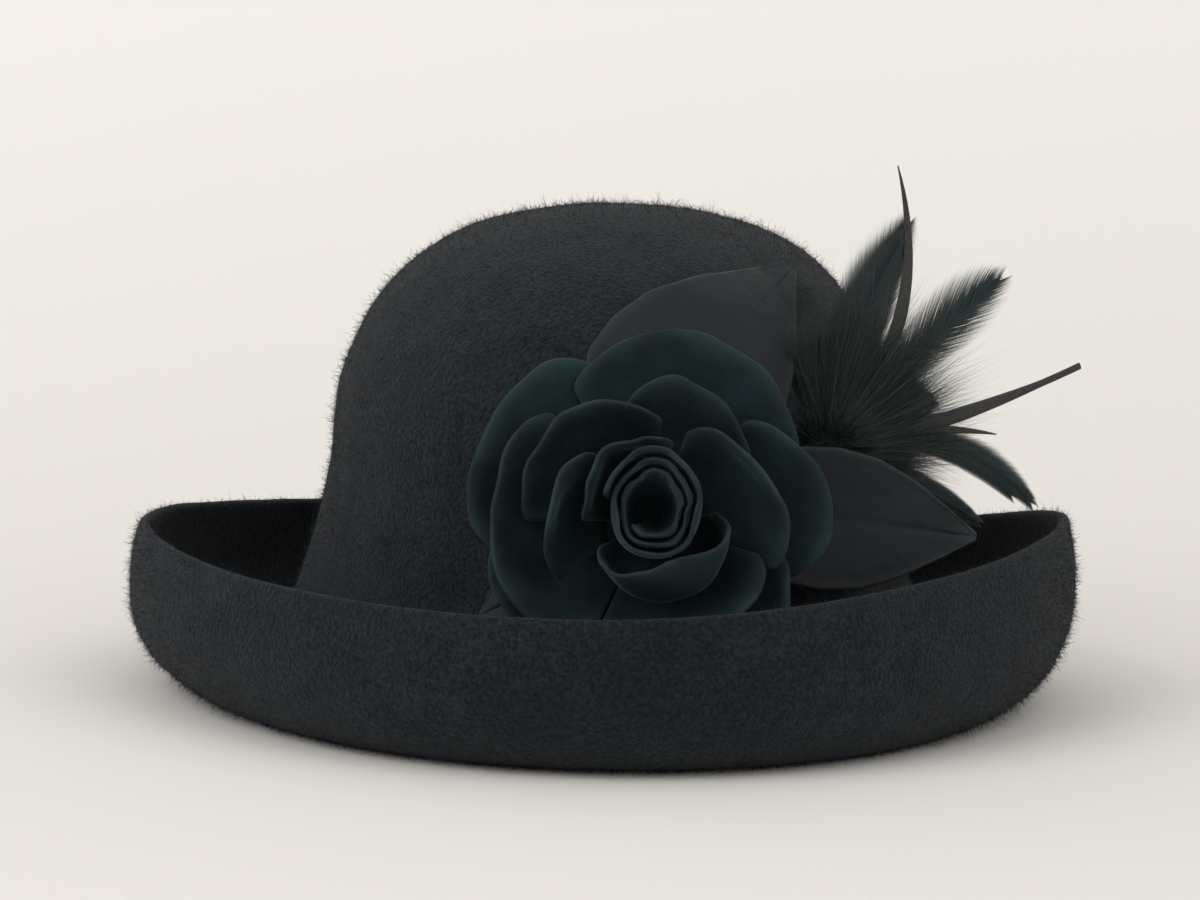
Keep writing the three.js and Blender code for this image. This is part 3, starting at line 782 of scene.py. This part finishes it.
# Vertices and faces of many thin pieces, gathered into one mesh
class Gathered:
    def __init__(self):
        self.points = []
        self.outs = []
        self.faces = []
        self.count = 0

    def ribbon(self, path, widths, facing):
        along = np.gradient(path, axis=0)
        side = np.cross(along, facing)
        side /= np.maximum(np.linalg.norm(side, axis=1, keepdims=True), 1e-12)
        half = side * np.asarray(widths)[:, None] / 2
        pairs = np.stack([path - half, path + half], axis=1)[:-1].reshape(-1, 3)
        self.points.append(np.vstack([pairs, path[-1:]]))
        self.outs.append(np.append(np.repeat(np.linspace(0, 1, len(path))[:-1], 2), 1))
        first, last = self.count, len(path) - 2
        for step in range(last):
            a = first + 2 * step
            self.faces.append((a, a + 1, a + 3, a + 2))
        self.faces.append((first + 2 * last, first + 2 * last + 1, first + 2 * last + 2))
        self.count += 2 * (last + 1) + 1

    def tube(self, path, radii, sides, flat=1):
        along = np.gradient(path, axis=0)
        side = np.cross(along, (0, 0, 1.0))
        side /= np.maximum(np.linalg.norm(side, axis=1, keepdims=True), 1e-12)
        up = np.cross(side, along)
        up /= np.maximum(np.linalg.norm(up, axis=1, keepdims=True), 1e-12)
        turns = np.arange(sides) / sides * 2 * math.pi
        ring = side[:, None] * np.cos(turns)[None, :, None]
        ring = ring + flat * up[:, None] * np.sin(turns)[None, :, None]
        points = path[:, None] + ring * np.asarray(radii)[:, None, None]
        self.points.append(points.reshape(-1, 3))
        self.outs.append(np.zeros(len(path) * sides))
        for step in range(len(path) - 1):
            for c in range(sides):
                a = self.count + step * sides + c
                b = self.count + step * sides + (c + 1) % sides
                self.faces.append((a, b, b + sides, a + sides))
        self.faces.append(tuple(self.count + c for c in reversed(range(sides))))
        last = self.count + (len(path) - 1) * sides
        self.faces.append(tuple(last + c for c in range(sides)))
        self.count += len(path) * sides

    def piece(self, name, material, place):
        points = np.vstack(self.points)
        matrix = np.array(place)
        points = points @ matrix[:3, :3].T + matrix[:3, 3]
        mesh = bpy.data.meshes.new(name)
        mesh.from_pydata(points.tolist(), [], self.faces)
        mesh.update()
        mesh.attributes.new("out", "FLOAT", "POINT").data.foreach_set("value", np.concatenate(self.outs))
        mesh.materials.append(material)
        mesh.shade_smooth()
        piece = bpy.data.objects.new(name, mesh)
        bpy.context.scene.collection.objects.link(piece)
        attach(piece, "root")
        return piece


def turned(points, degrees):
    angle = math.radians(degrees)
    cos, sin = math.cos(angle), math.sin(angle)
    return points @ np.array([[cos, -sin, 0], [sin, cos, 0], [0, 0, 1]]).T


def outline_half(feather, along):
    belly = MAKES[feather["make"]]["belly"]
    swell = np.sin(math.pi * np.clip(along, 0, 1) ** belly) ** FEATHER_FULLNESS
    return FEATHER_WIDTH / 2 * feather["width"] * np.maximum(FEATHER_TIP, swell)


def shaft_points(feather, along, lift=0.0):
    reach = FEATHER_REACH * feather["length"]
    along = np.asarray(along, float)
    bend = 4 * feather["bow"] * reach * along * (1 - along)
    rise = feather["layer"] * FEATHER * along + lift * along**2
    return np.stack([reach * along, bend, rise], axis=-1)


# How long a barb is that ends on its feather's outline, from a share of the shaft and at an angle to it
def barb_length(feather, at, angle):
    reach = FEATHER_REACH * feather["length"]
    lengths = np.linspace(0.01, 0.6, 60) * reach
    outside = lengths * math.sin(angle) > outline_half(feather, at + lengths * math.cos(angle) / reach)
    outside |= at + lengths * math.cos(angle) / reach > 1
    return lengths[np.argmax(outside)] if outside.any() else lengths[-1]


def vane(gathered, feather, make):
    for copy in range(make["copies"]):
        turn = feather["turn"] + make["fan"] * ((copy + 0.5) / make["copies"] - 0.5)
        lift = chance.uniform(*COPY_LIFT)
        size = 1 if copy == 0 else chance.uniform(*COPY_SIZE)
        size *= make["size"]
        along = np.linspace(0, BARBS_TO + SHAFT_END - 1, SHAFT_STEPS)
        shaft = shaft_points(feather, along, lift) * (size, size, 1)
        gathered.tube(turned(shaft, turn), SHAFT * (SHAFT_END - along), SHAFT_SIDES)
        for side in (-1, 1):
            lean = 0
            for barb in range(make["barbs"]):
                if barb % make["lock"] == 0:
                    lean = chance.normal(0, LOCK_LEAN) * make["ragged"]
                at = lerp(BARBS_FROM, BARBS_TO, barb / make["barbs"])
                stray = chance.normal(0, STRAY * make["ragged"])
                angle = lerp(make["foot"], make["tip"], at) + lean + stray
                angle = math.radians(max(BARB_LEAST, angle))
                length = barb_length(feather, at, angle) * size * (1 + chance.normal(0, make["ragged"]))
                foot = shaft_points(feather, at, lift) * (size, size, 1)
                next_foot = shaft_points(feather, at + COURSE_STEP, lift) * (size, size, 1)
                course = math.atan2(next_foot[1] - foot[1], next_foot[0] - foot[0])
                steps = np.linspace(0, 1, BARB_STEPS + 1)
                swing = course + side * angle * lerp(*BARB_SWING, steps)
                moves = np.stack([np.cos(swing), np.sin(swing), 0 * swing], axis=1)[:-1]
                path = foot + np.vstack([np.zeros(3), np.cumsum(moves * length / BARB_STEPS, axis=0)])
                path[:, 2] += chance.normal(0, BARB_SPLAY * make["ragged"] * 2) * steps**2
                path[:, 2] -= BARB_SINK * steps
                widths = make["width"] * (BARB_TAPER - steps) + BARB_POINT
                facing = np.array([chance.normal(0, BARB_TWIST), chance.normal(0, BARB_TWIST), 1])
                gathered.ribbon(turned(path, turn), widths, facing)


def quill(gathered, feather):
    along = np.linspace(0, 1, QUILL_STEPS)
    path = shaft_points(feather, along)
    point = QUILL_BLUNT if feather["kind"] == BLUNT_QUILL else QUILL_POINT
    taper = np.clip((SHAFT_END - along) / QUILL_TAPER, point, 1) ** QUILL_ROUND
    half = FEATHER_WIDTH / 2 * feather["width"] * QUILL_SHARE * taper
    gathered.tube(turned(path, feather["turn"]), half, QUILL_SIDES, QUILL_FLAT)


# The barbs are black with a green cast, and towards their tips they thin out to a soft olive
feather_material, feather_shader = material_named("feather", 0.5, 0.1, (0.4, 0.6, 0.5), 0.4)
out = feather_material.node_tree.nodes.new("ShaderNodeAttribute")
out.attribute_name = "out"
BARB_TONES = ((0.2, (0.0145, 0.0285, 0.0315)), (1.0, (0.05, 0.06, 0.054)))
BARB_THINNING = ((0.35, (0.95, 0.95, 0.95)), (1.0, (0.08, 0.08, 0.08)))
barb_color = ramp_in(feather_material, out.outputs["Fac"], BARB_TONES)
barb_alpha = ramp_in(feather_material, out.outputs["Fac"], BARB_THINNING)
feather_material.node_tree.links.new(barb_color, feather_shader.inputs["Base Color"])
feather_material.node_tree.links.new(barb_alpha, feather_shader.inputs["Alpha"])
QUILL_STREAKS = 1800
QUILL_TONES = ((0.3, (0.024, 0.0245, 0.0245)), (0.7, (0.056, 0.055, 0.053)))
quill_material, quill_shader = material_named("stripped_quill", 0.5, 0.1, (0.5, 0.5, 0.45), 0.4)
streaks = grain_in(quill_material, QUILL_STREAKS)
quill_color = ramp_in(quill_material, streaks.outputs["Lumps"], QUILL_TONES)
quill_material.node_tree.links.new(quill_color, quill_shader.inputs["Base Color"])

vanes = Gathered()
quills = Gathered()
for feather in FEATHERS:
    if feather["make"] == "quill":
        quill(quills, feather)
    else:
        vane(vanes, feather, MAKES[feather["make"]])
feather_vanes = vanes.piece("feather_vanes", feather_material, spray_seat)
feather_quills = quills.piece("feather_quills", quill_material, spray_seat)

# The head is bound round and round with thread, and tufts of down stick out all round it

THREAD = 0.00022
THREAD_TURNS = 26
THREAD_STEPS = 30
THREAD_REACH = 0.9
THREAD_SIDES = 6
FLUFF = 3600
FLUFF_SHORT = 0.005
FLUFF_LONG = 0.017
FLUFF_WIDTH = 0.00016
FLUFF_SPREAD = (1, 1, 0.6)
FLUFF_LEAN = (0.45, 0.15, 0.25)
FLUFF_FOOT = 0.9
FLUFF_BEND = 0.15
FLUFF_DROOP = (1, 1, 0.5)
FLUFF_CURL = 0.25
thread_material, thread_shader = material_named("waxed_thread", 0.55, 0.1, (0.4, 0.45, 0.45), 0.4)
thread_fibres = grain_in(thread_material, QUILL_STREAKS)
THREAD_TONES = ((0.3, (0.006, 0.009, 0.01)), (0.7, (0.013, 0.018, 0.02)))
thread_color = ramp_in(thread_material, thread_fibres.outputs["Lumps"], THREAD_TONES)
thread_material.node_tree.links.new(thread_color, thread_shader.inputs["Base Color"])

shape = bmesh.new()
bmesh.ops.create_uvsphere(shape, u_segments=32, v_segments=16, radius=SPRAY_HEAD)
bmesh.ops.scale(shape, vec=HEAD_SQUASH, verts=shape.verts[:])
bmesh.ops.transform(shape, matrix=spray_seat, verts=shape.verts[:])
feather_head = mesh_object("feather_head", shape, thread_material)

wraps = Gathered()
along = np.linspace(-THREAD_REACH, THREAD_REACH, THREAD_TURNS * THREAD_STEPS)
spin = np.linspace(0, THREAD_TURNS * 2 * math.pi, len(along))
girth = np.sqrt(1 - along**2)
round_head = np.stack([along, girth * np.cos(spin), girth * np.sin(spin)], axis=1)
course = round_head * HEAD_SQUASH * (SPRAY_HEAD + THREAD / 2)
wraps.tube(course, np.full(len(along), THREAD / 2), THREAD_SIDES)
head_thread = wraps.piece("head_thread", thread_material, spray_seat)

aim = chance.normal(size=(FLUFF, 3)) * FLUFF_SPREAD + FLUFF_LEAN
aim[:, 2] = np.abs(aim[:, 2])
aim /= np.linalg.norm(aim, axis=1, keepdims=True)
lengths = chance.uniform(FLUFF_SHORT, FLUFF_LONG, (FLUFF, 1))
feet = aim * HEAD_SQUASH * SPRAY_HEAD * FLUFF_FOOT
middles = feet + (aim + chance.normal(size=(FLUFF, 3)) * FLUFF_BEND) * lengths / 2
tips = middles + (aim * FLUFF_DROOP + chance.normal(size=(FLUFF, 3)) * FLUFF_CURL) * lengths / 2
to_hat = np.array(spray_seat)
tuft = [points @ to_hat[:3, :3].T + to_hat[:3, 3] for points in (feet, middles, tips)]
head_down = strands("head_down", *tuft, FLUFF_WIDTH, feather_material)

# Long loose barbs fill the fan between the feathers, longest at its middle

LOOSE = 9000
LOOSE_FROM = -22
LOOSE_TO = 112
LOOSE_LONG = 0.056
LOOSE_ROUND = 0.3
LOOSE_SHARE = (3.5, 1.6)
LOOSE_RISE = (0.02, 0.035)
LOOSE_FOOT = 0.6
LOOSE_BEND = (0.07, 0.07, 0.02)
LOOSE_CURL = (0.2, 0.2, 0.03)
LOOSE_MIDDLE = 0.55
loose_turn = np.radians(chance.uniform(LOOSE_FROM, LOOSE_TO, LOOSE))
middle_turn = math.radians((LOOSE_FROM + LOOSE_TO) / 2)
from_middle = (loose_turn - middle_turn) / math.radians((LOOSE_TO - LOOSE_FROM) / 2)
round_off = 1 - LOOSE_ROUND * from_middle**2
lengths = (LOOSE_LONG * round_off * chance.beta(*LOOSE_SHARE, LOOSE))[:, None]
rise = chance.normal(*LOOSE_RISE, LOOSE)
aim = np.stack([np.cos(loose_turn), np.sin(loose_turn), rise], axis=1)
feet = aim * SPRAY_HEAD * LOOSE_FOOT
middles = feet + (aim + chance.normal(size=(LOOSE, 3)) * LOOSE_BEND) * lengths * LOOSE_MIDDLE
tips = middles + (aim + chance.normal(size=(LOOSE, 3)) * LOOSE_CURL) * lengths * (1 - LOOSE_MIDDLE)
loose = [points @ to_hat[:3, :3].T + to_hat[:3, 3] for points in (feet, middles, tips)]
loose_down = strands("loose_down", *loose, FLUFF_WIDTH, feather_material)

for piece in (feather_vanes, feather_quills, feather_head, head_thread, head_down, loose_down):
    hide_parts("feather_spray")


# The stage: a warm white sweep, a window's soft light from the left and a dimmer one from the right

stage_material = bpy.data.materials.new("sweep")
stage_material.use_nodes = True
stage_shader = stage_material.node_tree.nodes["Principled BSDF"]
stage_place = stage_material.node_tree.nodes.new("ShaderNodeTexCoord")
stage_level = stage_material.node_tree.nodes.new("ShaderNodeSeparateXYZ")
stage_material.node_tree.links.new(stage_place.outputs["Object"], stage_level.inputs[0])
SWEEP_TONES = ((0, (0.78, 0.765, 0.74)), (0.3, (0.9, 0.885, 0.85)))
stage_color = ramp_in(stage_material, stage_level.outputs[2], SWEEP_TONES)
stage_material.node_tree.links.new(stage_color, stage_shader.inputs["Base Color"])

# From behind, the sweep is left clear, so that it hides nothing from a camera on that side
stage_side = stage_material.node_tree.nodes.new("ShaderNodeNewGeometry")
stage_clear = stage_material.node_tree.nodes.new("ShaderNodeBsdfTransparent")
stage_mix = stage_material.node_tree.nodes.new("ShaderNodeMixShader")
stage_surface = stage_material.node_tree.nodes["Material Output"].inputs["Surface"]
stage_material.node_tree.links.new(stage_side.outputs["Backfacing"], stage_mix.inputs[0])
stage_material.node_tree.links.new(stage_shader.outputs[0], stage_mix.inputs[1])
stage_material.node_tree.links.new(stage_clear.outputs[0], stage_mix.inputs[2])
stage_material.node_tree.links.new(stage_mix.outputs[0], stage_surface)
stage_shader.inputs["Roughness"].default_value = 0.9
stage_shader.inputs["Specular IOR Level"].default_value = 0.1

SWEEP_NEAR = -3
SWEEP_BACK = 0.75
SWEEP_RADIUS = 0.6
SWEEP_TOP = 3
SWEEP_HALF = 4
SWEEP_STEPS = 24
bend_from = SWEEP_BACK - SWEEP_RADIUS
profile = [(SWEEP_NEAR, 0), (bend_from, 0)]
for step in range(1, SWEEP_STEPS + 1):
    angle = step / SWEEP_STEPS * math.pi / 2
    back = bend_from + SWEEP_RADIUS * math.sin(angle)
    profile.append((back, SWEEP_RADIUS * (1 - math.cos(angle))))
profile.append((SWEEP_BACK, SWEEP_TOP))
shape = bmesh.new()
line = [shape.verts.new((-SWEEP_HALF, y, z)) for y, z in profile]
edges = [shape.edges.new(pair) for pair in zip(line, line[1:])]
pulled = bmesh.ops.extrude_edge_only(shape, edges=edges)
for vertex in pulled["geom"]:
    if isinstance(vertex, bmesh.types.BMVert):
        vertex.co.x = SWEEP_HALF
mesh = bpy.data.meshes.new("sweep")
shape.normal_update()
shape.to_mesh(mesh)
shape.free()
mesh.materials.append(stage_material)
mesh.shade_smooth()
sweep = bpy.data.objects.new("sweep", mesh)
bpy.context.scene.collection.objects.link(sweep)


def area_light(name, place, aim, size, power, color):
    lamp = bpy.data.lights.new(name, "AREA")
    lamp.shape = "SQUARE"
    lamp.size = size
    lamp.energy = power
    lamp.color = color
    holder = bpy.data.objects.new(name, lamp)
    holder.location = place
    holder.rotation_euler = (Vector(aim) - Vector(place)).to_track_quat("-Z", "Y").to_euler()
    bpy.context.scene.collection.objects.link(holder)


area_light("window", (-1.3, -1.2, 1.3), (0, 0, 0.08), 1.4, 19, (1, 0.98, 0.95))
area_light("room", (1.25, -1.0, 1.5), (0, 0, 0.08), 1.6, 8.5, (1, 0.98, 0.96))

world = bpy.data.worlds.new("room_light")
world.use_nodes = True
world.node_tree.nodes["Background"].inputs["Color"].default_value = (1, 0.985, 0.96, 1)
world.node_tree.nodes["Background"].inputs["Strength"].default_value = 0.66
bpy.context.scene.world = world
bpy.context.scene.view_settings.view_transform = "Standard"


# The camera: a little above the brim, as the photo's was, with a long lens

CAMERA_FAR = 1.1034
CAMERA_ELEVATION = 5.81
CAMERA_LENS = 111.49
CAMERA_YAW = 0.136
CAMERA_PITCH = -6.03
CAMERA_ROLL = 1.33
AIM_LEVEL = 0.075

climb = math.radians(CAMERA_ELEVATION)
yaw, pitch, roll = (math.radians(v) for v in (CAMERA_YAW, CAMERA_PITCH, CAMERA_ROLL))
forward = Vector((-math.sin(yaw) * math.cos(pitch), math.cos(yaw) * math.cos(pitch), math.sin(pitch)))
level = forward.cross(Vector((0, 0, 1))).normalized()
upright = level.cross(forward)
right = level * math.cos(roll) + upright * math.sin(roll)
up = upright * math.cos(roll) - level * math.sin(roll)
lens = bpy.data.cameras.new("camera")
lens.lens = CAMERA_LENS
lens.sensor_width = 36
lens.clip_start = 0.01
camera = bpy.data.objects.new("camera", lens)
place = HAT_MIDDLE + Vector((0, -CAMERA_FAR * math.cos(climb), AIM_LEVEL + CAMERA_FAR * math.sin(climb)))
camera.matrix_world = Matrix.Translation(place) @ Matrix((right, up, -forward)).transposed().to_4x4()
bpy.context.scene.collection.objects.link(camera)
bpy.context.scene.camera = camera
